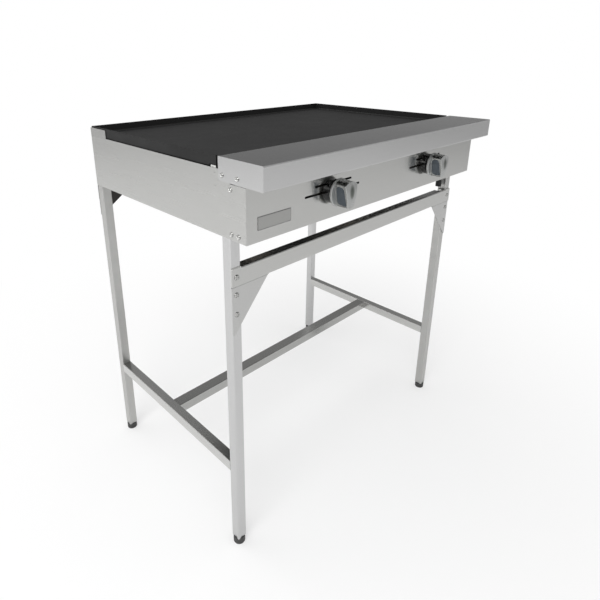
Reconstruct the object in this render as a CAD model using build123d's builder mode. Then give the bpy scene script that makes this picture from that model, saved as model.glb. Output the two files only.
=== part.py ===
# Gas griddle on a stand of square tube.
# Millimetres, +Z up, the front towards -Y, the origin on the floor under the middle of the object.

import math
import os

from build123d import *

os.makedirs("parts", exist_ok=True)

# Whole object
overall_width = 800.0
total_height = 875.0
body_depth = 556.0  # face of the front panel to face of the rear panel
body_height = 142.0  # lower edge of the panels to the top of the front cap

# Stock
sheet = 1.0  # panels and cap
rail_sheet = 1.5  # rails and gussets
clip_sheet = 1.2  # leg clips, burner bars and manifold brackets
tube = 22.0  # square tube of the stand
tube_wall = 1.2
tube_corner = 1.4  # outside radius of the tube's corners
griddle_floor = 5.0
griddle_wall = 3.0

# Clearances
slip = 0.2  # beside a folded edge, a tube or a plug
seat = 0.1  # under a round tube on a flat bar
running = 0.05  # radial, round the valve stem
travel_gap = 0.3  # between pieces that move past each other
bolt_play = 0.2  # radial, round bolts and screws

# Stand
leg_setback = 45.0  # front panel's face to the front legs
leg_in_body = 82.0  # length of leg that stands inside the box
foot_height = 17.0
foot_diameter = 26.0
foot_edge = 1.5
foot_plug = 20.0
stretcher_level = 212.0  # middle of the stretchers above the floor
stretcher_height = 24.0
centre_stretcher_width = 30.0
front_rail_gap = 58.0  # box's lower edge down to the front rail
rear_rail_gap = 2.0  # box's lower edge down to the rear rail
rail_height = 36.0
rail_shelf = 20.0
rail_lip = 12.0
front_gusset_width = 90.0
front_gusset_height = 105.0
rear_gusset_width = 60.0
rear_gusset_height = 44.0
gusset_lap = 26.0  # hidden part of a gusset behind its rail
gusset_corner = 3.0
gusset_bolt_first = 18.0  # below the rail
gusset_bolt_step = 40.0
front_bolt_count = 2  # in each front gusset, below its rail
rear_bolt_count = 1
bolt_diameter = 6.0
bolt_head = 11.0
bolt_head_height = 2.4
bolt_reach = 7.0  # past the tube's wall

# Box
cap_height = 42.0
cap_overhang = 42.0
cap_cover = 70.0  # cap's reach behind the front panel's face
cap_downturn = 14.0
cap_return = 25.0
ledge_drop = 22.0  # griddle ledges below the top
ledge_width = 25.0
ledge_corner = 0.4  # outside radius of the ledges' tight folds
slit_height = 1.0
slit_length = 39.5
front_return = 27.0
front_bottom_lip = 12.0
cap_tab_height = 19.0
cap_tab_start = 8.0
cap_tab_end = 67.0
rear_rim_drop = 7.0
ear_length = 74.0
ear_drop = 3.0  # top down to the ears' upper edge
ear_round = 2.0
vent_length = 60.0
vent_height = 6.0
vent_pitch = 76.0
vent_count = 9
vent_drop = 22.0  # ledge down to the row of vents
clip_height = 95.0
clip_rise = 2.0
clip_flange = 16.0
screw_diameter = 4.0
screw_head = 9.0
screw_head_height = 2.8
screw_length = 6.0
return_screw_back = 20.5
cap_screw_front = 21.0
cap_screw_rear = 60.5
cap_screw_rise = 10.5
clip_screw_edge = 5.5  # front legs' face to the clip screws
clip_screw_low = 10.0  # above the box's lower edge
clip_screw_high = 11.0  # below the cap
rear_screw_low = 20.0
rear_screw_high = 66.0
badge_width = 80.0
badge_height = 24.0
badge_thickness = 0.8
badge_side = 25.0  # from the box's left side
badge_rise = 21.0
badge_corner = 1.0

# Griddle
tray_inset = 1.6  # side panel's face to the tray's wall
tray_front = 82.0  # front panel's face to the cooking floor
tray_rear_gap = 3.0  # tray's back wall to the rear panel's face
tray_wall_start = 77.0  # front panel's face to the front end of the side walls
tray_bead = 3.0  # weld radius between floor and walls
wall_lift = 2.0  # ledge up to the lower edge of the walls
toe_length = 20.0  # cut-back of each side wall's lower front corner
toe_height = 2.5
gutter_front = 44.0
gutter_depth = 27.0  # ledge down to the gutter's underside
gutter_end = 30.0  # side panel's face to the gutter's end
gutter_lip = 3.0  # gutter's front wall above the ledge
spout_inset = 41.0  # box's right side to the spout's axis
spout_setback = 57.0
spout_radius = 8.0
spout_wall = 1.5
spout_collar = 12.0
spout_collar_height = 2.0
spout_length = 140.0
drip_margin = 2.0  # round the spout, of the notch in the rail's shelf below it

# Controls
knob_spread = 354.0  # between the two knob axes
knob_rise = 53.0  # box's lower edge up to the knob axes
push_travel = 3.0
slot_height = 4.5
upper_slot = 110.0
upper_slot_rise = 17.0  # above the knob axis
lower_slot = 164.0
lower_slot_rise = 2.0
stem_radius = 4.0
stem_hole = 7.0
stem_grip = 20.0  # length of stem inside the knob
bezel_radius = 24.0
bezel_depth = 8.0
bezel_edge = 1.5
knob_clearance = 1.5  # knob to bezel with the knob pushed in
skirt_radius = 28.0
skirt_thickness = 5.0
skirt_edge = 1.0
grip_radius = 26.5
grip_taper = 0.5
grip_depth = 27.5
grip_crown = 3.0
grip_half_width = 14.5
grip_flare = 11.0  # lean of each flat, in degrees
grip_edge = 1.0
inlay_depth = 1.0
inlay_start = 1.6  # skirt to the inlay
inlay_front = 4.3  # inlay's point to the front of the grip
inlay_lean = 3.0  # inlay's upper front corner behind its point
inlay_length = 38.0
inlay_shift = 2.5  # inlay's middle below the knob's axis
inlay_corner = 8.0
inlay_point = 2.0  # radius of the one corner that is nearly sharp

# Gas train, behind the front panel
nose_gap = 3.0  # panel's back to the valve's nose
nose_length = 12.0
nose_wall = 1.7
valve_length = 28.0
valve_width = 26.0
valve_height = 28.0
outlet_radius = 6.0
outlet_length = 6.0
injector_length = 12.0
injector_radius = 4.0
injector_shoulder = 1.0
washer_radius = 8.0
washer_thickness = 2.0
collar_radius = 6.0
collar_thickness = 2.0
stem_guide = 10.0
stub_radius = 7.0
manifold_radius = 9.0
manifold_wall = 2.0
manifold_rise = 14.0  # box's lower edge up to the manifold's axis
manifold_left = 235.0
manifold_right = 300.0
plug_radius = 11.0
plug_length = 8.0
bracket_x = 90.0
bracket_width = 20.0
bracket_height = 30.0
elbow = 22.0
spigot_radius = 5.0
spigot_length = 18.0
burner_overlap = 6.0  # injector inside the burner's mouth
mouth_radius = 15.0
mouth_length = 34.0
neck_radius = 11.0
neck_length = 36.0
venturi_in = 20.0
venturi_out = 40.0
burner_radius = 19.0
burner_tube_length = 312.0
burner_wall = 1.5
port_length = 14.0
port_width = 2.0
port_pitch = 24.0
port_count = 12
port_angle = 35.0
window_length = 14.0
window_height = 12.0
shutter_wall = 1.0
shutter_length = 26.0
shield_setback = 66.5  # front panel's face to the heat shield
shield_hole = 20.0  # radius round each burner's mouth
shield_rise = 2.0  # above the box's lower edge
shield_drop = 4.0  # below the gutter
bar_width = 20.0
bar_height = 20.0

# Places worked out from the sizes above
half_width = overall_width / 2
panel_inside = half_width - sheet
skirt_back = bezel_depth + push_travel + knob_clearance
knob_reach = skirt_back + skirt_thickness + grip_depth
rear_reach = body_depth - sheet + 2 * rail_sheet + bolt_head_height
front_y = -(rear_reach - knob_reach) / 2
rear_y = front_y + body_depth
body_bottom = total_height - body_height
cap_bottom = total_height - cap_height
ledge_top = total_height - ledge_drop
cap_front_y = front_y - cap_overhang
cap_rear_y = front_y + cap_cover
leg_x = panel_inside - tube / 2
leg_inside = panel_inside - tube
front_leg_face = front_y + leg_setback
rear_leg_face = rear_y - sheet
leg_centre_y = {"front": front_leg_face + tube / 2, "rear": rear_leg_face - tube / 2}
leg_face_y = {"front": front_leg_face, "rear": rear_leg_face}
outward = {"front": -1, "rear": 1}
side_sign = {"left": -1, "right": 1}
leg_top = body_bottom + leg_in_body
rail_top = {"front": body_bottom - front_rail_gap, "rear": body_bottom - rear_rail_gap}
gusset_width = {"front": front_gusset_width, "rear": rear_gusset_width}
gusset_height = {"front": front_gusset_height, "rear": rear_gusset_height}
gusset_bolt_count = {"front": front_bolt_count, "rear": rear_bolt_count}
clip_bottom = body_bottom + clip_rise
clip_screw_y = front_leg_face - clip_screw_edge
knob_x = {"left": -knob_spread / 2, "right": knob_spread / 2}
knob_z = body_bottom + knob_rise
nose_front = sheet + nose_gap
valve_front = nose_front + nose_length
valve_rear = valve_front + valve_length
washer_front = nose_front + travel_gap
nose_bore_end = washer_front + washer_thickness + push_travel + travel_gap
stem_inner_end = nose_bore_end + stem_guide
stem_bore_end = stem_inner_end + push_travel + travel_gap
manifold_y = front_y + (valve_front + valve_rear) / 2
manifold_z = body_bottom + manifold_rise
injector_seat = valve_rear + outlet_length
mouth_front = injector_seat + injector_length - burner_overlap
shutter_front = mouth_front + (mouth_length - shutter_length) / 2
neck_start = mouth_front + mouth_length + venturi_in
neck_end = neck_start + neck_length
ports_start = neck_end + venturi_out
burner_end = ports_start + burner_tube_length
gutter_bottom = ledge_top - gutter_depth
spout_x = half_width - spout_inset


def front_plane(y):
    """Upright plane at y that faces the front, drawn in X and Z."""
    return Plane.XZ.offset(-y)


def side_plane(x):
    """Upright plane at x that faces the right, drawn in Y and Z."""
    return Plane.YZ.offset(x)


def level(z):
    """Level plane at height z, drawn in X and Y."""
    return Plane.XY.offset(z)


def knob_plane(side):
    """Plane on the front panel's face, centred on a knob, facing the user."""
    return Plane(origin=(knob_x[side], front_y, knob_z), x_dir=(1, 0, 0), z_dir=(0, -1, 0))


def turning_plane(side):
    """Plane through a knob's axis, drawn in radius and in depth behind the panel's face."""
    return Plane(origin=(knob_x[side], front_y, knob_z), x_dir=(1, 0, 0), z_dir=(0, 0, 1))


def knob_axis(side):
    return Axis((knob_x[side], front_y, knob_z), (0, 1, 0))


def folded(points, thickness, side=Side.LEFT):
    """Section of a folded sheet: its outer line, rounded at the folds, and the thickness inside it."""
    with BuildSketch() as section:
        with BuildLine():
            FilletPolyline(*points, radius=2 * thickness)
            offset(amount=thickness, side=side)
        make_face()
    return section.sketch


def box_tube(width, height, wall):
    """Section of a box tube with rounded corners, in the sketch that is open."""
    RectangleRounded(width, height, tube_corner)
    RectangleRounded(width - 2 * wall, height - 2 * wall, tube_corner / 4, mode=Mode.SUBTRACT)


def save(piece, label):
    piece.part.label = label
    export_step(piece.part, f"parts/{label}.step")


def pan_screw(diameter, head, head_height, length):
    """Pan-head screw along Z, its head above the level z = 0."""
    with BuildPart() as screw:
        with BuildSketch(Plane.XZ):
            with BuildLine():
                Polyline(
                    (0, -length),
                    (diameter / 2, -length),
                    (diameter / 2, 0),
                    (head / 2, 0),
                    (head / 2, head_height / 2),
                    (head / 2 - head_height / 2, head_height),
                    (0, head_height),
                    close=True,
                )
            make_face()
        revolve(axis=Axis.Z)
    return screw.part


def rail_bolt_level(end):
    return rail_top[end] - rail_height / 2


def gusset_bolt_levels(end):
    rail_bottom = rail_top[end] - rail_height
    return [
        rail_bottom - gusset_bolt_first - step * gusset_bolt_step
        for step in range(gusset_bolt_count[end])
    ]


# Legs: square tubes that stand up into the box's corners
def leg(end, side):
    x = side_sign[side] * leg_x
    y = leg_centre_y[end]
    with BuildPart() as piece:
        with BuildSketch(level(foot_height)):
            with Locations((x, y)):
                box_tube(tube, tube, tube_wall)
        extrude(amount=leg_top - foot_height)
        hole_levels = [rail_bolt_level(end)] + gusset_bolt_levels(end)
        with BuildSketch(front_plane(leg_face_y[end])):
            with Locations(*[(x, z) for z in hole_levels]):
                Circle(bolt_diameter / 2 + bolt_play)
        extrude(amount=outward[end] * tube / 2, mode=Mode.SUBTRACT)
        if end == "rear":
            with BuildSketch(front_plane(rear_leg_face)):
                with Locations((x, body_bottom + rear_screw_low), (x, body_bottom + rear_screw_high)):
                    Circle(screw_diameter / 2 + bolt_play)
            extrude(amount=tube / 2, mode=Mode.SUBTRACT)
    save(piece, f"{end}_{side}_leg")


# Feet: round plastic tips with a square plug in the tube
def foot(end, side):
    x = side_sign[side] * leg_x
    y = leg_centre_y[end]
    bore = tube - 2 * tube_wall - 2 * slip
    with BuildPart() as piece:
        with BuildSketch(level(0)):
            with Locations((x, y)):
                Circle(foot_diameter / 2)
        extrude(amount=foot_height)
        fillet(piece.edges().group_by(Axis.Z)[0], foot_edge)
        with BuildSketch(level(foot_height)):
            with Locations((x, y)):
                RectangleRounded(bore, bore, 0.75 * tube_wall)
        extrude(amount=foot_plug)
    save(piece, f"{end}_{side}_foot")


# Gussets: triangular plates on the legs' faces, their upper part behind the rail
def gusset(end, side):
    sign = side_sign[side]
    edge = sign * panel_inside
    inner = edge - sign * gusset_width[end]
    tab = sign * leg_inside
    rail_bottom = rail_top[end] - rail_height
    face = leg_face_y[end] + (outward[end] * rail_sheet if end == "front" else 0)
    with BuildPart() as piece:
        with BuildSketch(front_plane(face)) as outline:
            with BuildLine():
                Polyline(
                    (edge, rail_bottom - gusset_height[end]),
                    (edge, rail_top[end]),
                    (tab, rail_top[end]),
                    (tab, rail_bottom + gusset_lap),
                    (inner, rail_bottom + gusset_lap),
                    (inner, rail_bottom),
                    close=True,
                )
            make_face()
            fillet(outline.vertices().filter_by_position(Axis.Y, 0, rail_bottom + 1), gusset_corner)
            with Locations(*[(sign * leg_x, z) for z in [rail_bolt_level(end)] + gusset_bolt_levels(end)]):
                Circle(bolt_diameter / 2 + bolt_play, mode=Mode.SUBTRACT)
        extrude(amount=-rail_sheet)
    save(piece, f"{end}_{side}_gusset")


# Rails: folded channels, with a shelf between the legs and a lip between the gussets
def rail(end):
    way = outward[end]
    face = leg_face_y[end] + way * 2 * rail_sheet
    top = rail_top[end]
    bottom = top - rail_height
    inner_side = Side.LEFT if end == "front" else Side.RIGHT
    lip_half = panel_inside - gusset_width[end] - slip
    shelf_half = leg_inside - slip
    shelf_line = [(face - way * rail_shelf, top), (face, top), (face, bottom)]
    lip_line = shelf_line + [(face - way * rail_lip, bottom)]
    with BuildPart() as piece:
        with BuildSketch(side_plane(-lip_half)):
            add(folded(lip_line, rail_sheet, inner_side))
        extrude(amount=2 * lip_half)
        for sign in (-1, 1):
            with BuildSketch(side_plane(sign * lip_half)):
                add(folded(shelf_line, rail_sheet, inner_side))
            extrude(amount=sign * (shelf_half - lip_half))
            with BuildSketch(side_plane(sign * shelf_half)):
                with Locations((face - way * rail_sheet / 2, (top + bottom) / 2)):
                    Rectangle(rail_sheet, rail_height)
            extrude(amount=sign * (panel_inside - shelf_half))
        with BuildSketch(front_plane(face)):
            with Locations((-leg_x, rail_bolt_level(end)), (leg_x, rail_bolt_level(end))):
                Circle(bolt_diameter / 2 + bolt_play)
        extrude(amount=way * 2 * rail_sheet, both=True, mode=Mode.SUBTRACT)
        if end == "front":
            with BuildSketch(level(top)):
                with Locations((spout_x, front_y + spout_setback)):
                    Circle(spout_radius + drip_margin)
            extrude(amount=-2 * rail_sheet, mode=Mode.SUBTRACT)
    save(piece, f"{end}_rail")


for end_name in ("front", "rear"):
    for side_name in ("left", "right"):
        leg(end_name, side_name)
        foot(end_name, side_name)
        gusset(end_name, side_name)
    rail(end_name)

# Side stretchers, butted between the front and rear legs
stretcher_front = leg_centre_y["front"] + tube / 2
stretcher_rear = leg_centre_y["rear"] - tube / 2
for side_name, sign in side_sign.items():
    with BuildPart() as side_stretcher:
        with BuildSketch(front_plane(stretcher_front)):
            with Locations((sign * leg_x, stretcher_level)):
                box_tube(tube, stretcher_height, tube_wall)
        extrude(amount=-(stretcher_rear - stretcher_front))
    save(side_stretcher, f"{side_name}_stretcher")

# Centre stretcher, butted between the side stretchers
with BuildPart() as centre_stretcher:
    with BuildSketch(side_plane(-leg_inside)):
        with Locations(((stretcher_front + stretcher_rear) / 2, stretcher_level)):
            box_tube(centre_stretcher_width, stretcher_height, tube_wall)
    extrude(amount=2 * leg_inside)
save(centre_stretcher, "centre_stretcher")

# Bolts of the rails and gussets
bolt = pan_screw(bolt_diameter, bolt_head, bolt_head_height, 2 * rail_sheet + tube_wall + bolt_reach)
bolt_places = []
for end_name in ("front", "rear"):
    way = outward[end_name]
    for sign in (-1, 1):
        rail_face = leg_face_y[end_name] + way * 2 * rail_sheet
        gusset_face = leg_face_y[end_name] + way * rail_sheet
        seats = [(rail_face, rail_bolt_level(end_name))]
        seats += [(gusset_face, z) for z in gusset_bolt_levels(end_name)]
        bolt_places += [Plane((sign * leg_x, y, z), z_dir=(0, way, 0)) for y, z in seats]
with BuildPart() as stand_bolts:
    with Locations(*bolt_places):
        add(bolt)
save(stand_bolts, "stand_bolts")

# Screws in each side of the box, as depth and height
side_screw_places_below_cap = [
    (front_y + return_screw_back, body_bottom + clip_screw_low),
    (clip_screw_y, body_bottom + clip_screw_low),
    (clip_screw_y, cap_bottom - clip_screw_high),
]
cap_screw_places = [
    (front_y + cap_screw_front, cap_bottom + cap_screw_rise),
    (front_y + cap_screw_rear, cap_bottom + cap_screw_rise),
]


# Side panels: flat sheets with a stepped top edge and a ledge folded in under the griddle
def side_panel(side):
    sign = side_sign[side]
    face = sign * half_width
    fold = 2 * sheet
    panel_rear = rear_y - sheet
    with BuildPart() as piece:
        with BuildSketch(side_plane(face)):
            with BuildLine():
                Polyline(
                    (front_y, body_bottom),
                    (panel_rear, body_bottom),
                    (panel_rear, ledge_top - fold),
                    (cap_rear_y, ledge_top - fold),
                    (cap_rear_y, cap_bottom),
                    (front_y + slit_length, cap_bottom),
                    (front_y + slit_length, cap_bottom - slit_height),
                    (front_y, cap_bottom - slit_height),
                    close=True,
                )
            make_face()
            with Locations(*side_screw_places_below_cap):
                Circle(screw_diameter / 2 + bolt_play, mode=Mode.SUBTRACT)
        extrude(amount=-sign * sheet)
        with BuildSketch(front_plane(cap_rear_y)) as ledge:
            with BuildLine():
                Polyline(
                    (face, ledge_top - 2 * fold),
                    (face, ledge_top),
                    (face - sign * ledge_width, ledge_top),
                    (face - sign * ledge_width, ledge_top - sheet),
                    (face - sign * sheet, ledge_top - sheet),
                    (face - sign * sheet, ledge_top - 2 * fold),
                    close=True,
                )
            make_face()
            fillet(ledge.vertices().sort_by_distance((face, ledge_top))[0], ledge_corner)
        extrude(amount=-(panel_rear - cap_rear_y))
    save(piece, f"{side}_side_panel")


for side_name in side_sign:
    side_panel(side_name)

# Front panel: a sheet with slots round each knob, side returns with tabs up into the cap
with BuildPart() as front_panel:
    with BuildSketch(front_plane(front_y)):
        with Locations((0, (body_bottom + cap_bottom) / 2)):
            Rectangle(2 * panel_inside, cap_bottom - body_bottom)
        for x in knob_x.values():
            with Locations((x, knob_z)):
                Circle(stem_hole, mode=Mode.SUBTRACT)
            with Locations((x, knob_z + upper_slot_rise)):
                SlotOverall(upper_slot, slot_height, mode=Mode.SUBTRACT)
            with Locations((x, knob_z + lower_slot_rise)):
                SlotOverall(lower_slot, slot_height, mode=Mode.SUBTRACT)
    extrude(amount=-sheet)
    flange_width = 2 * (panel_inside - sheet - slip)
    with BuildSketch(level(body_bottom)):
        with Locations((0, front_y + front_bottom_lip / 2)):
            Rectangle(flange_width, front_bottom_lip)
    extrude(amount=sheet)
    with BuildSketch(level(cap_bottom - sheet)):
        with Locations((0, front_y + cap_return / 2)):
            Rectangle(flange_width, cap_return)
    extrude(amount=sheet)
    for sign in (-1, 1):
        with BuildSketch(side_plane(sign * panel_inside)):
            with BuildLine():
                Polyline(
                    (front_y, body_bottom),
                    (front_y + front_return, body_bottom),
                    (front_y + front_return, cap_bottom + sheet),
                    (front_y + cap_tab_end, cap_bottom + sheet),
                    (front_y + cap_tab_end, cap_bottom + cap_tab_height),
                    (front_y + cap_tab_start, cap_bottom + cap_tab_height),
                    (front_y + cap_tab_start, cap_bottom),
                    (front_y, cap_bottom),
                    close=True,
                )
            make_face()
            return_screw = (front_y + return_screw_back, body_bottom + clip_screw_low)
            with Locations(return_screw, *cap_screw_places):
                Circle(screw_diameter / 2 + bolt_play, mode=Mode.SUBTRACT)
        extrude(amount=-sign * sheet)
save(front_panel, "front_panel")

# Rear panel: a sheet with vents, and ears folded forward beside the griddle's rear corners
with BuildPart() as rear_panel:
    rear_rim = total_height - rear_rim_drop
    with BuildSketch(front_plane(rear_y)):
        with Locations((0, (body_bottom + rear_rim) / 2)):
            Rectangle(overall_width, rear_rim - body_bottom)
        with Locations((0, ledge_top - vent_drop)):
            with GridLocations(vent_pitch, vent_pitch, vent_count, 1):
                SlotOverall(vent_length, vent_height, mode=Mode.SUBTRACT)
        for sign in (-1, 1):
            with Locations(
                (sign * leg_x, body_bottom + rear_screw_low), (sign * leg_x, body_bottom + rear_screw_high)
            ):
                Circle(screw_diameter / 2 + bolt_play, mode=Mode.SUBTRACT)
    extrude(amount=sheet)
    for sign in (-1, 1):
        with BuildSketch(side_plane(sign * half_width)) as ear:
            with Locations((rear_y - ear_length / 2, ledge_top + (ledge_drop - ear_drop) / 2)):
                Rectangle(ear_length, ledge_drop - ear_drop)
            fillet(ear.vertices().group_by(Axis.Z)[-1], ear_round)
        extrude(amount=-sign * sheet)
save(rear_panel, "rear_panel")

# Front cap: a folded box beam over the front panel, with its ends closed
cap_middle = (cap_front_y, total_height - cap_height / 2)
cap_upper_line = [
    cap_middle,
    (cap_front_y, total_height),
    (cap_rear_y, total_height),
    (cap_rear_y, total_height - cap_downturn),
]
return_half = panel_inside - sheet - slip
with BuildPart() as front_cap:
    for return_rear, start, stop in (
        (front_y + cap_return, -return_half, return_half),
        (front_y - slip, -panel_inside, -return_half),
        (front_y - slip, return_half, panel_inside),
    ):
        with BuildSketch(side_plane(start)):
            cap_lower_line = [(return_rear, cap_bottom), (cap_front_y, cap_bottom), cap_middle]
            add(folded(cap_lower_line, sheet, Side.RIGHT))
            add(folded(cap_upper_line, sheet, Side.RIGHT))
        extrude(amount=stop - start)
    for sign in (-1, 1):
        with BuildSketch(side_plane(sign * panel_inside)) as cap_end:
            with Locations(((cap_front_y + cap_rear_y) / 2, (cap_bottom + total_height) / 2)):
                Rectangle(cap_rear_y - cap_front_y, cap_height)
            fillet(cap_end.vertices().group_by(Axis.Z)[-1], 2 * sheet)
            with Locations(*cap_screw_places):
                Circle(screw_diameter / 2 + bolt_play, mode=Mode.SUBTRACT)
        extrude(amount=sign * sheet)
save(front_cap, "front_cap")

# Bare badge plate on the front panel
with BuildPart() as badge_plate:
    badge_x = -half_width + badge_side + badge_width / 2
    badge_z = body_bottom + badge_rise + badge_height / 2
    with BuildSketch(front_plane(front_y)):
        with Locations((badge_x, badge_z)):
            RectangleRounded(badge_width, badge_height, badge_corner)
    extrude(amount=badge_thickness)
save(badge_plate, "badge_plate")


# Leg clips: a hat round each front leg, an angle round each rear leg, against the side panel
def leg_clip(end, side):
    sign = side_sign[side]
    wall = sign * panel_inside
    inner = sign * (leg_inside - slip)
    front = leg_centre_y[end] - tube / 2 - slip
    rear = leg_centre_y[end] + tube / 2 + slip
    flange_x = wall - sign * clip_sheet
    inner_x = inner - sign * clip_sheet
    front_half = [
        (flange_x, front - clip_sheet - clip_flange),
        (flange_x, front - clip_sheet),
        (inner_x, front - clip_sheet),
    ]
    if end == "front":
        rear_half = [
            (inner_x, rear + clip_sheet),
            (flange_x, rear + clip_sheet),
            (flange_x, rear + clip_sheet + clip_flange),
        ]
    else:
        rear_half = [(inner_x, rear_leg_face)]
    with BuildPart() as piece:
        with BuildSketch(level(clip_bottom)):
            with BuildLine():
                Polyline(*front_half, *rear_half)
                offset(amount=clip_sheet, side=Side.RIGHT if sign > 0 else Side.LEFT)
            make_face()
        extrude(amount=clip_height)
        if end == "front":
            with BuildSketch(side_plane(wall)):
                with Locations(*side_screw_places_below_cap[1:]):
                    Circle(screw_diameter / 2 + bolt_play)
            extrude(amount=-sign * 2 * clip_sheet, mode=Mode.SUBTRACT)
    save(piece, f"{end}_{side}_leg_clip")


for end_name in ("front", "rear"):
    for side_name in side_sign:
        leg_clip(end_name, side_name)

# Heat shield: a black sheet between the front leg clips, with a hole round each burner's mouth
with BuildPart() as heat_shield:
    shield_half = leg_inside - slip - clip_sheet
    shield_bottom = body_bottom + shield_rise
    shield_top = gutter_bottom - shield_drop
    with BuildSketch(front_plane(front_y + shield_setback)):
        with Locations((0, (shield_bottom + shield_top) / 2)):
            Rectangle(2 * shield_half, shield_top - shield_bottom)
        with Locations((knob_x["left"], knob_z), (knob_x["right"], knob_z)):
            Circle(shield_hole, mode=Mode.SUBTRACT)
    extrude(amount=-sheet)
save(heat_shield, "heat_shield")

# Screws of the box: five on each side, two in each rear leg
screw = pan_screw(screw_diameter, screw_head, screw_head_height, screw_length)
screw_places = []
for sign in (-1, 1):
    for y, z in side_screw_places_below_cap + cap_screw_places:
        screw_places.append(Plane((sign * half_width, y, z), z_dir=(sign, 0, 0)))
    for rise in (rear_screw_low, rear_screw_high):
        screw_places.append(Plane((sign * leg_x, rear_y, body_bottom + rise), z_dir=(0, 1, 0)))
with BuildPart() as body_screws:
    with Locations(*screw_places):
        add(screw)
save(body_screws, "body_screws")

# Griddle: a thick floor with welded walls on three sides and a gutter along its front
with BuildPart() as griddle_plate:
    tray_half = half_width - tray_inset
    tray_front_y = front_y + tray_front
    tray_rear_y = rear_y - tray_rear_gap
    floor_half = tray_half - griddle_wall
    floor_rear_y = tray_rear_y - griddle_wall
    with BuildSketch(level(ledge_top)):
        with Locations((0, (tray_front_y + floor_rear_y) / 2)):
            Rectangle(2 * floor_half, floor_rear_y - tray_front_y)
    extrude(amount=griddle_floor)
    with BuildSketch(level(ledge_top + wall_lift)):
        with Locations((0, tray_rear_y - griddle_wall / 2)):
            Rectangle(2 * tray_half, griddle_wall)
        wall_start_y = front_y + tray_wall_start
        wall_x = tray_half - griddle_wall / 2
        wall_middle = (wall_start_y + tray_rear_y) / 2
        with Locations((-wall_x, wall_middle), (wall_x, wall_middle)):
            Rectangle(griddle_wall, tray_rear_y - wall_start_y)
    extrude(amount=ledge_drop - wall_lift)
    with BuildSketch(level(ledge_top + wall_lift)):
        toe_y = wall_start_y + toe_length / 2
        with Locations((-wall_x, toe_y), (wall_x, toe_y)):
            Rectangle(griddle_wall, toe_length)
    extrude(amount=toe_height, mode=Mode.SUBTRACT)
    floor_top = ledge_top + griddle_floor
    inner_corner = griddle_plate.edges().filter_by_position(Axis.Z, floor_top, floor_top)
    weld_edges = [
        edge
        for edge in inner_corner
        if tray_front_y + griddle_wall < edge.center().Y < tray_rear_y - griddle_wall / 2
    ]
    fillet(weld_edges, tray_bead)
    gutter_half = half_width - gutter_end
    gutter_y = front_y + gutter_front
    with BuildSketch(level(gutter_bottom)):
        with Locations((0, (gutter_y + tray_front_y) / 2)):
            Rectangle(2 * gutter_half, tray_front_y - gutter_y)
    extrude(amount=gutter_depth + gutter_lip)
    with BuildSketch(level(gutter_bottom + griddle_wall)):
        with Locations((0, (gutter_y + tray_front_y) / 2)):
            Rectangle(2 * (gutter_half - griddle_wall), tray_front_y - gutter_y - 2 * griddle_wall)
    extrude(amount=gutter_depth + ledge_drop, mode=Mode.SUBTRACT)
    with BuildSketch(level(gutter_bottom)):
        with Locations((spout_x, front_y + spout_setback)):
            Circle(spout_radius - spout_wall)
    extrude(amount=griddle_wall, mode=Mode.SUBTRACT)
save(griddle_plate, "griddle_plate")

# Grease spout: a tube with a collar, welded under the gutter
with BuildPart() as grease_spout:
    with BuildSketch(level(gutter_bottom)):
        with Locations((spout_x, front_y + spout_setback)):
            Circle(spout_radius)
            Circle(spout_radius - spout_wall, mode=Mode.SUBTRACT)
    extrude(amount=-spout_length)
    with BuildSketch(level(gutter_bottom)):
        with Locations((spout_x, front_y + spout_setback)):
            Circle(spout_collar)
            Circle(spout_radius - spout_wall, mode=Mode.SUBTRACT)
    extrude(amount=-spout_collar_height)
save(grease_spout, "grease_spout")

# Manifold: a plugged pipe under the valves, with an elbow at its right end and a hose spigot below
with BuildPart() as gas_manifold:
    with BuildSketch(side_plane(-manifold_left)):
        with Locations((manifold_y, manifold_z)):
            Circle(manifold_radius)
            Circle(manifold_radius - manifold_wall, mode=Mode.SUBTRACT)
    extrude(amount=manifold_left + manifold_right)
save(gas_manifold, "gas_manifold")

with BuildPart() as manifold_plug:
    with BuildSketch(side_plane(-manifold_left)):
        with Locations((manifold_y, manifold_z)):
            RegularPolygon(plug_radius, 6)
    extrude(amount=-plug_length)
save(manifold_plug, "manifold_plug")

with BuildPart() as gas_inlet:
    with BuildSketch(side_plane(manifold_right)):
        with Locations((manifold_y, manifold_z)):
            RectangleRounded(elbow, elbow, elbow / 8)
    extrude(amount=elbow)
    with BuildSketch(level(manifold_z - elbow / 2)):
        with Locations((manifold_right + elbow / 2, manifold_y)):
            Circle(spigot_radius)
    extrude(amount=-spigot_length)
save(gas_inlet, "gas_inlet")

# Brackets that hold the manifold on the front panel's back
with BuildPart() as manifold_brackets:
    bracket_top = manifold_z - manifold_radius - seat
    bracket_line = [
        (front_y + sheet, bracket_top - clip_sheet + bracket_height),
        (front_y + sheet, bracket_top - clip_sheet),
        (manifold_y + manifold_radius, bracket_top - clip_sheet),
    ]
    for x in (-bracket_x, bracket_x):
        with BuildSketch(side_plane(x - bracket_width / 2)):
            add(folded(bracket_line, clip_sheet))
        extrude(amount=bracket_width)
save(manifold_brackets, "manifold_brackets")


# Burner bars: angles across the box that carry the burners
def burner_bar(label, front, burner_underside):
    top = burner_underside - seat
    bar_y = front_y + front
    bar_line = [(bar_y + bar_width, top), (bar_y, top), (bar_y, top - bar_height)]
    with BuildPart() as piece:
        with BuildSketch(side_plane(-panel_inside)):
            add(folded(bar_line, clip_sheet))
        extrude(amount=2 * panel_inside)
    save(piece, label)


burner_bar("front_burner_bar", neck_start + (neck_length - bar_width) / 2, knob_z - neck_radius)
burner_bar("rear_burner_bar", burner_end - 2 * bar_width, knob_z - burner_radius)


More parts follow.
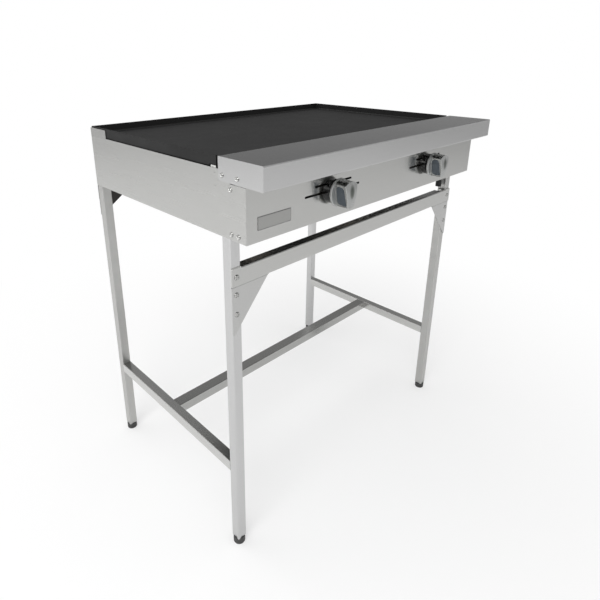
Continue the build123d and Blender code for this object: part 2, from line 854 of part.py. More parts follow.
# Valves: a nose towards the panel, a body, an outlet to the rear and a stub on the manifold
def valve(side):
    bore = washer_radius + travel_gap
    with BuildPart() as piece:
        with BuildSketch(knob_plane(side).offset(-valve_rear)):
            RectangleRounded(valve_width, valve_height, valve_width / 8)
        extrude(amount=valve_length)
        with BuildSketch(knob_plane(side).offset(-valve_front)):
            Circle(bore + nose_wall)
        extrude(amount=nose_length)
        with BuildSketch(knob_plane(side).offset(-injector_seat)):
            Circle(outlet_radius)
        extrude(amount=outlet_length)
        with BuildSketch(level(manifold_z)):
            with Locations((knob_x[side], manifold_y)):
                Circle(stub_radius)
        extrude(amount=knob_z - manifold_z)
        with BuildSketch(side_plane(knob_x[side])):
            with Locations((manifold_y, manifold_z)):
                Circle(manifold_radius + running)
        extrude(amount=2 * stub_radius, both=True, mode=Mode.SUBTRACT)
        with BuildSketch(knob_plane(side).offset(-nose_bore_end)):
            Circle(bore)
        extrude(amount=nose_bore_end - nose_front, mode=Mode.SUBTRACT)
        with BuildSketch(knob_plane(side).offset(-stem_bore_end)):
            Circle(stem_radius + running)
        extrude(amount=stem_bore_end - nose_bore_end, mode=Mode.SUBTRACT)
    save(piece, f"{side}_valve")


# Injectors: turned brass jets on the valves' outlets
def injector(side):
    seat_end = injector_seat + injector_length / 3
    tip = injector_seat + injector_length
    with BuildPart() as piece:
        with BuildSketch(turning_plane(side)):
            with BuildLine():
                Polyline(
                    (0, injector_seat),
                    (injector_radius + injector_shoulder, injector_seat),
                    (injector_radius + injector_shoulder, seat_end),
                    (injector_radius, seat_end),
                    (injector_radius / 2, tip),
                    (0, tip),
                    close=True,
                )
            make_face()
        revolve(axis=knob_axis(side))
    save(piece, f"{side}_injector")


# Burners: thin turned tubes with a mouth, a venturi neck and two rows of ports
def burner(side):
    stations = [
        (mouth_radius, mouth_front),
        (mouth_radius, mouth_front + mouth_length),
        (neck_radius, neck_start),
        (neck_radius, neck_end),
        (burner_radius, ports_start),
        (burner_radius, burner_end),
    ]
    inner = [(radius - burner_wall, depth) for radius, depth in stations]
    inner[-1] = (inner[-1][0], burner_end - burner_wall)
    end_cap = [(0, burner_end), (0, burner_end - burner_wall)]
    with BuildPart() as piece:
        with BuildSketch(turning_plane(side)):
            with BuildLine():
                Polyline(*stations, *end_cap, *reversed(inner), close=True)
            make_face()
        revolve(axis=knob_axis(side))
        with BuildSketch(side_plane(knob_x[side])):
            with Locations((front_y + mouth_front + mouth_length / 2, knob_z)):
                Rectangle(window_length, window_height)
        extrude(amount=2 * mouth_radius, both=True, mode=Mode.SUBTRACT)
        row_middle = front_y + ports_start + burner_tube_length / 2
        for angle in (-port_angle, port_angle):
            upright = Vector(0, 0, 1).rotate(Axis.Y, angle)
            row = Plane((knob_x[side], row_middle, knob_z), x_dir=(0, 1, 0), z_dir=upright)
            with BuildSketch(row):
                with GridLocations(port_pitch, port_pitch, port_count, 1):
                    Rectangle(port_length, port_width)
            extrude(amount=2 * burner_radius, mode=Mode.SUBTRACT)
    save(piece, f"{side}_burner")


# Air shutters: sleeves with two windows that turn on the burners' mouths
def air_shutter(side):
    bore = mouth_radius + travel_gap
    with BuildPart() as piece:
        with BuildSketch(knob_plane(side).offset(-shutter_front)):
            Circle(bore + shutter_wall)
            Circle(bore, mode=Mode.SUBTRACT)
        extrude(amount=-shutter_length)
        with BuildSketch(side_plane(knob_x[side])):
            with Locations((front_y + shutter_front + shutter_length / 2, knob_z)):
                Rectangle(window_length, window_height)
        extrude(amount=2 * mouth_radius, both=True, mode=Mode.SUBTRACT)
    save(piece, f"{side}_air_shutter")


# Bezels: black rings on the panel, behind the knobs
def bezel(side):
    with BuildPart() as piece:
        with BuildSketch(knob_plane(side)):
            Circle(bezel_radius)
            Circle(stem_hole, mode=Mode.SUBTRACT)
        extrude(amount=bezel_depth)
        rim = piece.edges().group_by(Axis.Y)[0].sort_by(SortBy.LENGTH)[-1]
        fillet(rim, bezel_edge)
    save(piece, f"{side}_bezel")


# Push washers: they slide in the valves' noses with the stems, and do not turn
def push_washer(side):
    with BuildPart() as piece:
        with BuildSketch(knob_plane(side).offset(-washer_front)):
            Circle(washer_radius)
            Circle(stem_radius + running, mode=Mode.SUBTRACT)
        extrude(amount=-washer_thickness)
    save(piece, f"{side}_push_washer")


# Valve stems: rods with a collar that bears on the push washer
def valve_stem(side):
    with BuildPart() as piece:
        with BuildSketch(knob_plane(side).offset(-stem_inner_end)):
            Circle(stem_radius)
        extrude(amount=stem_inner_end + skirt_back + stem_grip)
        with BuildSketch(knob_plane(side).offset(running - washer_front)):
            Circle(collar_radius)
        extrude(amount=collar_thickness)
    save(piece, f"{side}_valve_stem")


def inlay_plane(side, sign):
    """Plane on one flat of a knob's grip, drawn from the skirt towards the user, and up or down."""
    lean = math.radians(grip_flare)
    origin = (
        knob_x[side] + sign * (grip_half_width - inlay_shift * math.tan(lean)),
        front_y - skirt_back - skirt_thickness,
        knob_z - inlay_shift,
    )
    return Plane(origin=origin, x_dir=(0, -1, 0), z_dir=(sign * math.cos(lean), 0, -math.sin(lean)))


def inlay_outline(sign, clearance):
    """Outline of a knob's inlay, or of its pocket: three round corners and a point, below at the front."""
    half = inlay_length / 2
    front = grip_depth - inlay_front
    with BuildSketch() as outline:
        with BuildLine():
            Polyline(
                (inlay_start, -half),
                (front - inlay_lean, -half),
                (front, half),
                (inlay_start, half),
                close=True,
            )
        make_face()
        fillet(outline.vertices().sort_by(Axis.X)[:-1], inlay_corner)
        fillet(outline.vertices().sort_by(Axis.X)[-1], inlay_point)
        if sign < 0:
            mirror(about=Plane.XZ, mode=Mode.REPLACE)
        if clearance > 0:
            offset(amount=-clearance)
    return outline.sketch


# Knobs: a round skirt and a crowned grip with two flats, each with a pocket for an inlay
def knob(side):
    grip_start = skirt_back + skirt_thickness
    grip_end = grip_start + grip_depth
    with BuildPart() as piece:
        with BuildSketch(turning_plane(side)):
            with BuildLine():
                Polyline(
                    (0, -grip_end),
                    (0, -skirt_back),
                    (skirt_radius - skirt_edge, -skirt_back),
                    (skirt_radius, -skirt_back - skirt_edge),
                    (skirt_radius, -grip_start + skirt_edge),
                    (skirt_radius - skirt_edge, -grip_start),
                    (grip_radius, -grip_start),
                    (grip_radius - grip_taper, grip_crown - grip_end),
                )
                crown_edge = (grip_radius - grip_taper, grip_crown - grip_end)
                TangentArc((0, -grip_end), crown_edge, tangent=(1, 0))
            make_face()
        revolve(axis=knob_axis(side))
        with BuildSketch(knob_plane(side).offset(grip_start)):
            for sign in (-1, 1):
                outward_side = Align.MIN if sign > 0 else Align.MAX
                with Locations((sign * grip_half_width, 0)):
                    Rectangle(
                        2 * grip_radius,
                        4 * grip_radius,
                        rotation=-sign * grip_flare,
                        align=(outward_side, Align.CENTER),
                    )
        extrude(amount=grip_depth, mode=Mode.SUBTRACT)
        planes = piece.faces().filter_by(GeomType.PLANE)
        flats = planes.filter_by(lambda face: abs(face.normal_at().Y) < 0.5)
        front_edges = [
            edge for edge in flats.edges() if edge.center().Y < front_y - grip_start - grip_depth / 4
        ]
        fillet(front_edges, grip_edge)
        for sign in (-1, 1):
            with BuildSketch(inlay_plane(side, sign)):
                add(inlay_outline(sign, 0))
            extrude(amount=-inlay_depth, mode=Mode.SUBTRACT)
        with BuildSketch(knob_plane(side).offset(skirt_back)):
            Circle(stem_radius + running)
        extrude(amount=stem_grip, mode=Mode.SUBTRACT)
    save(piece, f"{side}_knob")


# Grey inlays of each knob, one in each flat
def knob_inlays(side):
    with BuildPart() as piece:
        for sign in (-1, 1):
            with BuildSketch(inlay_plane(side, sign)):
                add(inlay_outline(sign, slip))
            extrude(amount=-inlay_depth)
    save(piece, f"{side}_knob_inlays")


for side_name in side_sign:
    valve(side_name)
    injector(side_name)
    burner(side_name)
    air_shutter(side_name)
    bezel(side_name)
    push_washer(side_name)
    valve_stem(side_name)
    knob(side_name)
    knob_inlays(side_name)
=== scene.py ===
# %% [markdown]
# # A gas griddle on a stand of square tube
#
# This lesson dresses a finished CAD model: a black steel cooking tray in a low stainless box, two
# chromed knobs on its front, and a stand of square tube with an H of stretchers near the floor.
# The CAD model comes in as a fixed frame. Its sheet metal is already the right shape, so the work
# here is mostly in the finishes, with a few small pieces that are too fine for the CAD model.

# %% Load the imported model
import math

import bmesh
import bpy
import numpy as np
from mathutils import Matrix, Vector


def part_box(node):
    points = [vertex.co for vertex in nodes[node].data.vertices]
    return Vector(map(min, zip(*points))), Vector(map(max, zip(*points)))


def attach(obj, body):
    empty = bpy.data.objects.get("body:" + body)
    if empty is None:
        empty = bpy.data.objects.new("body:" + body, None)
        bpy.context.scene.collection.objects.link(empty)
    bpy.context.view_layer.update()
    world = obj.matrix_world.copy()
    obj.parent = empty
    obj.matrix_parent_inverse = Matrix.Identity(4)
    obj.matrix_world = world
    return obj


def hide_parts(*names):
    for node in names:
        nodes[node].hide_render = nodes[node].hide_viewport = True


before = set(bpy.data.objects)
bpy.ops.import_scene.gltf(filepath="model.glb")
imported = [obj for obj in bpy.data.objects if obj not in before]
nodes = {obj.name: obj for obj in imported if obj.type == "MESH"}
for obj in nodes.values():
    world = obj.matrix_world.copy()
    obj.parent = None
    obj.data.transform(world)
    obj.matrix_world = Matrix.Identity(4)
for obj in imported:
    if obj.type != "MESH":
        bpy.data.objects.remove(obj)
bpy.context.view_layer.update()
scene = bpy.context.scene
scene.view_settings.view_transform = "Standard"
MM = 0.001

# %% [markdown]
# ## Colours
#
# Colours are easiest to judge as the hex values that a picture editor shows. Those are sRGB values,
# while shader sockets want linear ones, so one function turns the first into the second.

# %% One colour function


def srgb(hex_value):
    """Linear RGBA of an sRGB hex value: each channel goes through the sRGB curve, backwards."""
    channels = [int(hex_value[i:i + 2], 16) / 255 for i in (1, 3, 5)]
    linear = [c / 12.92 if c <= 0.04045 else ((c + 0.055) / 1.055) ** 2.4 for c in channels]
    return (*linear, 1.0)


print("mid grey #808080 is", round(srgb("#808080")[0], 3), "in linear light")

# %% [markdown]
# ## Nodes
#
# A material is a small graph. One helper adds a node, sets its properties, and fills its input
# sockets either with a value or with a link from another node's output. A Mix node has sockets for
# several kinds of value under the same names, so they are picked by number, and the numbers have
# names here.

# %% One node helper
FIRST_COLOUR, SECOND_COLOUR, MIXED_COLOUR = 6, 7, 2
FIRST_VALUE, SECOND_VALUE, MIXED_VALUE = 2, 3, 0


def add_node(tree, kind, inputs=None, **settings):
    """Adds a node of a kind, with its settings. Each input is a value, or an output socket to link."""
    node = tree.nodes.new(kind)
    for name, value in settings.items():
        setattr(node, name, value)
    for key, value in (inputs or {}).items():
        if isinstance(value, bpy.types.NodeSocket):
            tree.links.new(value, node.inputs[key])
        else:
            node.inputs[key].default_value = value
    return node


def new_material(name):
    """An empty node material: the material, its tree, and its Object coordinates."""
    material = bpy.data.materials.new(name)
    material.use_nodes = True
    tree = material.node_tree
    tree.nodes.clear()
    return material, tree, add_node(tree, "ShaderNodeTexCoord").outputs["Object"]


def end_material(tree, inputs):
    """The end of a material: a Principled shader with these inputs, and the output that it feeds."""
    shader = add_node(tree, "ShaderNodeBsdfPrincipled", inputs)
    add_node(tree, "ShaderNodeOutputMaterial", {"Surface": shader.outputs["BSDF"]})


print("a material starts empty and ends in a Principled shader")

# %% [markdown]
# ## Tone, gloss and patches
#
# Where a metal is worn or cloudy, its tone and its gloss change together, so one noise drives both.
# Real metal also has patches: dirt gathers in a joint, soot on a plate near the fire, and a sawn edge
# stays matt. These could be painted on an image. A box in Object coordinates is simpler and exact:
# each CAD node sits at the origin, so its Object coordinates are places on the real object. X is
# measured from the middle, because the left and right sides are alike.

# %% Tone, gloss and patches
noise_low, noise_high = 0.3, 0.7


def tone_and_gloss(tree, noise, dark, light, roughness, spread):
    """Colour and roughness sockets that follow a noise. The colour goes from dark to light, and the
    roughness from one spread below its value to one above, while the noise goes from low to high."""
    tone = add_node(
        tree, "ShaderNodeMix",
        {"Factor": noise, FIRST_COLOUR: srgb(dark), SECOND_COLOUR: srgb(light)}, data_type="RGBA",
    )
    gloss = add_node(
        tree, "ShaderNodeMapRange",
        {"Value": noise, "From Min": noise_low, "From Max": noise_high,
         "To Min": roughness - spread, "To Max": roughness + spread},
    )
    return tone.outputs[MIXED_COLOUR], gloss.outputs["Result"]


def inside(tree, place, limits):
    """A socket that is 1 inside a box and 0 outside it: the product of one comparison for each limit.
    Limits give a (low, high) pair for an axis, and None leaves that side open."""
    axes = add_node(tree, "ShaderNodeSeparateXYZ", {"Vector": place}).outputs
    mask = 1.0
    for axis, ends in limits.items():
        value = axes[axis]
        if axis == "X":
            value = add_node(tree, "ShaderNodeMath", {0: value}, operation="ABSOLUTE").outputs["Value"]
        for end, comparison in zip(ends, ("GREATER_THAN", "LESS_THAN")):
            if end is not None:
                within = add_node(tree, "ShaderNodeMath", {0: value, 1: end}, operation=comparison)
                factors = {0: mask, 1: within.outputs["Value"]}
                mask = add_node(tree, "ShaderNodeMath", factors, operation="MULTIPLY").outputs["Value"]
    return mask


def with_patches(tree, place, colour, roughness, patches):
    """Colour and roughness sockets that change inside each patch, a later one over an earlier one. A
    patch is its limits, its colour and its roughness, or None where the roughness stays."""
    for limits, patch_colour, patch_roughness in patches:
        mask = inside(tree, place, limits)
        colours = {"Factor": mask, FIRST_COLOUR: colour, SECOND_COLOUR: srgb(patch_colour)}
        colour = add_node(tree, "ShaderNodeMix", colours, data_type="RGBA").outputs[MIXED_COLOUR]
        if patch_roughness is not None:
            values = {"Factor": mask, FIRST_VALUE: roughness, SECOND_VALUE: patch_roughness}
            roughness = add_node(tree, "ShaderNodeMix", values).outputs[MIXED_VALUE]
    return colour, roughness


print("a noise moves tone and gloss between", noise_low, "and", noise_high)

# %% [markdown]
# ## Brushed stainless steel
#
# The panels are 304 sheet with a satin grain: it is rolled, then brushed with a fine belt in one
# direction. The eye sees a pale neutral grey, faint streaks along the belt, and soft reflections
# that waver a little because thin sheet is never quite flat. A noise that is stretched along the
# grain gives the streaks, and a slow noise gives the waver. A real belt leaves lines about 0.2 mm
# apart, which is finer than a pixel here, so they are drawn about 1.5 mm apart to show at all.

# %% Brushed stainless, with its grain along one axis


def stainless(name, grain_axis, dark, light, roughness, patches=()):
    """Stainless steel whose streaks run along X, Y or Z (0, 1 or 2): a noise that is stretched along
    that axis moves tone, gloss and grain, and a slow noise bends the sheet."""
    line_apart, line_length, line_depth = 1.5 * MM, 160 * MM, 0.05 * MM
    wave_length, wave_depth = 180 * MM, 0.25 * MM
    gloss_spread = 0.02
    material, tree, place = new_material(name)
    scale = [1 / line_apart] * 3
    scale[grain_axis] = 1 / line_length
    stretched = add_node(tree, "ShaderNodeMapping", {"Vector": place, "Scale": scale})
    streaks = add_node(
        tree, "ShaderNodeTexNoise",
        {"Vector": stretched.outputs["Vector"], "Scale": 1.0, "Detail": 3.0, "Roughness": 0.6},
    ).outputs["Fac"]
    waves = add_node(
        tree, "ShaderNodeTexNoise", {"Vector": place, "Scale": 1 / wave_length, "Detail": 2.0}
    ).outputs["Fac"]
    colour, gloss = tone_and_gloss(tree, streaks, dark, light, roughness, gloss_spread)
    colour, gloss = with_patches(tree, place, colour, gloss, patches)
    grain = add_node(
        tree, "ShaderNodeBump", {"Height": streaks, "Strength": 0.03, "Distance": line_depth}
    )
    waver = add_node(
        tree, "ShaderNodeBump",
        {"Height": waves, "Strength": 1.0, "Distance": wave_depth, "Normal": grain.outputs["Normal"]},
    )
    end_material(tree, {
        "Base Color": colour, "Roughness": gloss, "Metallic": 1.0, "Normal": waver.outputs["Normal"],
    })
    return material


sheet_across = stainless("brushed_stainless_sheet_x", 0, "#b9b9b7", "#c1c1bf", 0.2)
sheet_along = stainless("brushed_stainless_sheet_y", 1, "#bbbbb9", "#c1c1bf", 0.26)
sheet_cap = stainless("brushed_stainless_cap_x", 0, "#c0c0c0", "#c8c8c8", 0.2)
tube_upright = stainless("satin_stainless_tube_z", 2, "#c4c4c4", "#cccccc", 0.24)
# A rougher copy of the upright tube; its darker colour is painted shade.
tube_matt_painted_shade = stainless("matt_stainless_tube_z_painted_shade", 2, "#b8b8b6", "#c2c2c0", 0.4)
tube_across = stainless("satin_stainless_tube_x", 0, "#b0b0ae", "#b8b8b6", 0.2)
tube_along = stainless("satin_stainless_tube_y", 1, "#c4c4c2", "#cececc", 0.24)
print("stainless sheet and tube made")

# %% [markdown]
# ## Rails and gussets
#
# The rails and gussets are cut from the same sheet and bolted to the legs. Three patches change their
# tone. A dark line 2 mm wide just below the front rail, where it laps over the gussets, is a painted
# shadow of the rail's edge. The sawn top edges over the front legs are matt, and their pale colour is a
# painted highlight; being matt, they don't mirror the dim room. The inner side of the rear gussets,
# under the box, is dark with painted shade.

# %% Stainless with patches
seam_drop, seam_half = 0.5 * MM, 1 * MM
edge_half, edge_play = 0.2 * MM, 1 * MM
front_rail_low, front_rail_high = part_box("front_rail")
rail_bottom, rail_top = front_rail_low[2], front_rail_high[2]
seam_z = rail_bottom - seam_drop
# Painted shadow: a dark band 2 mm wide just below the front rail's lower edge.
seam_painted_shadow = ({"Z": (seam_z - seam_half, seam_z + seam_half)}, "#4a4a48", None)
over_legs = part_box("front_right_leg")[0][0] - edge_play
# Matt sawn edge, whose pale colour is a painted highlight.
sawn_edge_painted_highlight = ({"X": (over_legs, None), "Z": (rail_top - edge_half, rail_top + edge_half)}, "#e6e6e4", 0.9)
rear_gusset_low, rear_gusset_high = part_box("rear_left_gusset")
# Painted shade on the front side of the rear gussets, under the box.
front_side_painted_shade = ({"Y": (None, (rear_gusset_low[1] + rear_gusset_high[1]) / 2)}, "#3a3938", None)
rail_across = stainless("satin_stainless_rail_x", 0, "#babab8", "#c2c2c0", 0.2, [sawn_edge_painted_highlight])
plate_upright = stainless(
    "satin_stainless_plate_z", 2, "#bababa", "#c2c2c0", 0.24, [seam_painted_shadow, sawn_edge_painted_highlight]
)
plate_painted_shade = stainless("stainless_plate_z_painted_shade", 2, "#bababa", "#c2c2c0", 0.3, [front_side_painted_shade])
print("rails and gussets: the seam lies", round(seam_z / MM, 1), "mm above the floor")

# %% [markdown]
# ## Blackened griddle steel
#
# The cooking tray is hot-rolled plate under a baked black finish. It is close to black, a little
# uneven, and has the low sheen of a wiped oil film. A cloudy noise moves the tone and the roughness
# together, and a fine grit of about 1 mm gives the surface its tooth. The tray's walls are a little
# darker than its floor. The gap below their foot is near-black as painted shadow, and the front end of
# that gap is pale grey as a painted highlight.

# %% Black griddle steel


def griddle_black(name, dark, light, roughness, patches=()):
    """Baked black steel: a slow noise moves tone and roughness, and a fine noise is the grit."""
    cloud_size, grit_size, grit_depth = 90 * MM, 1.2 * MM, 0.1 * MM
    gloss_spread = 0.06
    material, tree, place = new_material(name)
    cloud = add_node(
        tree, "ShaderNodeTexNoise",
        {"Vector": place, "Scale": 1 / cloud_size, "Detail": 5.0, "Roughness": 0.55},
    ).outputs["Fac"]
    grit = add_node(tree, "ShaderNodeTexNoise", {"Vector": place, "Scale": 1 / grit_size, "Detail": 2.0})
    tooth = add_node(
        tree, "ShaderNodeBump",
        {"Height": grit.outputs["Fac"], "Strength": 0.2, "Distance": grit_depth},
    )
    colour, gloss = tone_and_gloss(tree, cloud, dark, light, roughness, gloss_spread)
    colour, gloss = with_patches(tree, place, colour, gloss, patches)
    end_material(tree, {
        "Base Color": colour, "Roughness": gloss, "Specular IOR Level": 0.3,
        "Normal": tooth.outputs["Normal"],
    })
    return material


# Colours of the walls, of the painted shadow in the gap below them, and of the painted highlight at the
# gap's front end.
wall_black, gap_painted_shadow, toe_painted_highlight = "#191919", "#050505", "#f2f2f0"
wall_thickness, wall_height, toe_length = 3.2 * MM, 19.2 * MM, 26 * MM
tray_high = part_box("griddle_plate")[1]
side_walls = {"X": (tray_high[0] - wall_thickness, None)}
rear_wall = {"Y": (tray_high[1] - wall_thickness, None)}
below_foot = {"Z": (None, tray_high[2] - wall_height)}
toe = {"Y": (None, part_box("front_cap")[1][1] + toe_length)}
tray_patches = [
    (side_walls, wall_black, None),
    (rear_wall, wall_black, None),
    # Painted shadow in the gap below the side and rear walls.
    (side_walls | below_foot, gap_painted_shadow, None),
    (rear_wall | below_foot, gap_painted_shadow, None),
    # Painted highlight at the front end of that gap.
    (side_walls | below_foot | toe, toe_painted_highlight, None),
]
griddle_steel = griddle_black("baked_black_griddle_steel", "#1f1f1f", "#262626", 0.55, tray_patches)
spout_black = griddle_black("black_enamelled_tube", "#141414", "#1c1c1c", 0.4)
# Painted shade: the heat shield behind the knob slots is black, so the slots look dark.
shield_painted_shade = griddle_black("black_shield_paint_painted_shade", "#0e0e0e", "#151515", 0.7)
print("black steel made, the tray's with", len(tray_patches), "patches")

# %% [markdown]
# ## Plastics
#
# The feet are moulded polyethylene, grey-black with a fine spark texture. The bezels are gloss black
# phenolic. The knob inlays are slate-grey ABS with a dry, even surface. All three are one recipe with
# other values: a base colour that moves a little, and a moulded grit.

# %% Moulded plastics


def moulded(name, dark, light, roughness, grit_mm, depth_mm):
    """Moulded plastic: a noise of the grit's size moves the tone and raises the skin by the depth."""
    material, tree, place = new_material(name)
    grit = add_node(
        tree, "ShaderNodeTexNoise", {"Vector": place, "Scale": 1 / (grit_mm * MM), "Detail": 2.0}
    ).outputs["Fac"]
    tone = add_node(
        tree, "ShaderNodeMix",
        {"Factor": grit, FIRST_COLOUR: srgb(dark), SECOND_COLOUR: srgb(light)}, data_type="RGBA",
    )
    skin = add_node(
        tree, "ShaderNodeBump", {"Height": grit, "Strength": 0.3, "Distance": depth_mm * MM}
    )
    end_material(tree, {
        "Base Color": tone.outputs[MIXED_COLOUR], "Roughness": roughness,
        "Normal": skin.outputs["Normal"],
    })
    return material


foot_plastic = moulded("moulded_polyethylene_foot", "#343434", "#3e3e3e", 0.6, 1.2, 0.06)
bezel_plastic = moulded("gloss_black_phenolic", "#101010", "#161616", 0.12, 2.0, 0.01)
inlay_plastic = moulded("slate_grey_abs", "#3d4349", "#454c52", 0.45, 0.8, 0.03)
print("plastics made")

# %% [markdown]
# ## Plated and turned metals
#
# The small metal pieces are chromed, zinc-plated, galvanised, cast or turned. Each has a clean skin
# that mirrors its surroundings, more or less sharply, with a slight cloud where the bath or the heat
# was uneven. One recipe serves them all, with the tones, the gloss and the size of the cloud as its
# values. The skirt of each knob was blasted before it was plated, so it is paler and matt.

# %% Turned and plated metals


def plated(name, dark, light, roughness, size_mm, patches=()):
    """Plated or turned metal: a noise moves the tone, and the gloss by a fifth either way."""
    gloss_spread = 0.2 * roughness
    material, tree, place = new_material(name)
    cloud = add_node(
        tree, "ShaderNodeTexNoise", {"Vector": place, "Scale": 1 / (size_mm * MM), "Detail": 3.0}
    ).outputs["Fac"]
    colour, gloss = tone_and_gloss(tree, cloud, dark, light, roughness, gloss_spread)
    colour, gloss = with_patches(tree, place, colour, gloss, patches)
    end_material(tree, {"Base Color": colour, "Roughness": gloss, "Metallic": 1.0})
    return material


skirt_depth = 5.2 * MM
blasted_skirt = ({"Y": (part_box("left_knob")[1][1] - skirt_depth, None)}, "#c0c1c0", 0.6)
knob_chrome = plated("satin_chrome_plate", "#a0a1a0", "#b2b3b2", 0.24, 8, [blasted_skirt])
zinc = plated("zinc_plated_steel", "#acacaa", "#c0c0be", 0.09, 3)
galvanised = plated("galvanised_sheet", "#7a7b7b", "#8e8f8f", 0.45, 14)
brass = plated("turned_brass", "#b98c45", "#cda45c", 0.25, 6)
valve_metal = plated("blackened_die_casting", "#2c2a28", "#3a3733", 0.5, 6)
burner_steel = plated("heat_toned_stainless", "#5e5a55", "#726d67", 0.4, 25)
pipe_steel = plated("plain_steel_pipe", "#7c7c7c", "#929292", 0.4, 12)
badge_metal = plated("satin_anodised_aluminium", "#a0a09e", "#acacaa", 0.34, 20)
print("metals made")

# %% [markdown]
# ## Finishes on the CAD nodes
#
# A CAD node keeps its mesh and takes a better material in its slots. The streaks of each piece run
# the way that its strip or tube was brushed: along the length. Two of the legs take a rougher copy of
# the tube, whose darker colour is painted shade.

# %% Dress the nodes
sides = ("left", "right")
ends = ("front", "rear")
corners = [f"{end}_{side}" for end in ends for side in sides]


def both(piece):
    """The names of a piece on the left and on the right."""
    return [f"{side}_{piece}" for side in sides]


finish_of = {
    sheet_across: ["front_panel", "rear_panel"],
    sheet_cap: ["front_cap"],
    sheet_along: both("side_panel"),
    tube_across: ["centre_stretcher"],
    tube_along: both("stretcher"),
    tube_upright: ["front_left_leg", "rear_right_leg"],
    tube_matt_painted_shade: ["front_right_leg", "rear_left_leg"],
    rail_across: ["front_rail", "rear_rail"],
    plate_upright: ["front_left_gusset", "front_right_gusset"],
    plate_painted_shade: ["rear_left_gusset", "rear_right_gusset"],
    griddle_steel: ["griddle_plate"],
    spout_black: ["grease_spout"],
    shield_painted_shade: ["heat_shield"],
    foot_plastic: [f"{corner}_foot" for corner in corners],
    bezel_plastic: both("bezel"),
    inlay_plastic: both("knob_inlays"),
    knob_chrome: both("knob"),
    zinc: both("push_washer") + both("valve_stem"),
    galvanised: [f"{corner}_leg_clip" for corner in corners]
    + ["manifold_brackets", "front_burner_bar", "rear_burner_bar"],
    brass: both("injector"),
    valve_metal: both("valve"),
    burner_steel: both("burner") + both("air_shutter"),
    pipe_steel: ["gas_manifold", "manifold_plug", "gas_inlet"],
    badge_metal: ["badge_plate"],
}
for material, names in finish_of.items():
    for name in names:
        mesh = nodes[name].data
        mesh.materials.clear()
        mesh.materials.append(material)
dressed = {name for names in finish_of.values() for name in names}
print("nodes that new pieces stand for:", sorted(set(nodes) - dressed))

# %% [markdown]
# ## Small pieces that are surfaces
#
# Screws, welds and marks are too fine for the CAD model. Each is one formula on a grid: rows run
# along the shape, columns run across or round it, and every copy of the shape is one more leading
# axis of the same array. The mesh gets the whole array at once.

# %% From a grid of points to a piece
sharp_angle = math.radians(50)
meeting_distance = 0.001 * MM


def grid_piece(name, points, material, body, wraps=True):
    """A piece from points[copy, row, column, xyz]. Each corner is joined to the next row and column,
    and the last column to the first one where the grid wraps. Points that meet, as all those of a
    row do at the top of a dome, become one, which closes the pole."""
    copies, rows, columns, _ = points.shape
    index = np.arange(copies * rows * columns).reshape(copies, rows, columns)
    if wraps:
        index = np.concatenate([index, index[:, :, :1]], axis=2)
    face_corners = [index[:, :-1, :-1], index[:, :-1, 1:], index[:, 1:, 1:], index[:, 1:, :-1]]
    quads = np.stack(face_corners, axis=-1).reshape(-1, 4)
    mesh = bpy.data.meshes.new(name)
    mesh.from_pydata(points.reshape(-1, 3).tolist(), [], quads.tolist())
    closed = bmesh.new()
    closed.from_mesh(mesh)
    bmesh.ops.remove_doubles(closed, verts=closed.verts, dist=meeting_distance)
    closed.to_mesh(mesh)
    closed.free()
    mesh.polygons.foreach_set("use_smooth", np.ones(len(mesh.polygons), dtype=bool))
    mesh.set_sharp_from_angle(angle=sharp_angle)
    mesh.materials.append(material)
    piece = bpy.data.objects.new(name, mesh)
    scene.collection.objects.link(piece)
    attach(piece, body)
    print(name, len(mesh.vertices), "points,", len(mesh.polygons), "faces")
    return piece


def stand_on(heights, radii, angles, places, outward):
    """Turned points put on many places: place + height x axis + radius x (cos x level + sin x up). The
    axis is each place's outward way, up is Z, and level is square to both."""
    origin, axis = (np.array(rows, dtype=float)[:, None, None, :] for rows in (places, outward))
    up = np.array([0.0, 0.0, 1.0])
    level = np.cross(up, axis)
    along = np.broadcast_to(heights, (len(places), *heights.shape[-2:]))[..., None]
    across = (radii * np.cos(angles))[..., None]
    above = (radii * np.sin(angles))[..., None]
    return origin + along * axis + across * level + above * up


print("edges sharper than", round(math.degrees(sharp_angle)), "degrees stay crisp")

# %% [markdown]
# ## Screws and bolts
#
# The box is held by cross-recess pan-head screws, and the stand by larger mushroom-head bolts. Both
# are cold-headed from wire: the blank is upset into a dome, a punch makes the recess, and the thread
# is rolled between two dies. One formula gives them all. The recess is a cross-shaped dip in the
# dome, with sloped walls, and the thread is a triangle wave that climbs one pitch in each turn. Each
# screw stops at an angle of its own, about an eighth of a turn from upright.

# %% The formula of a screw
screw_seed = 7
screw_lean, lean_spread = np.pi / 4, 0.12


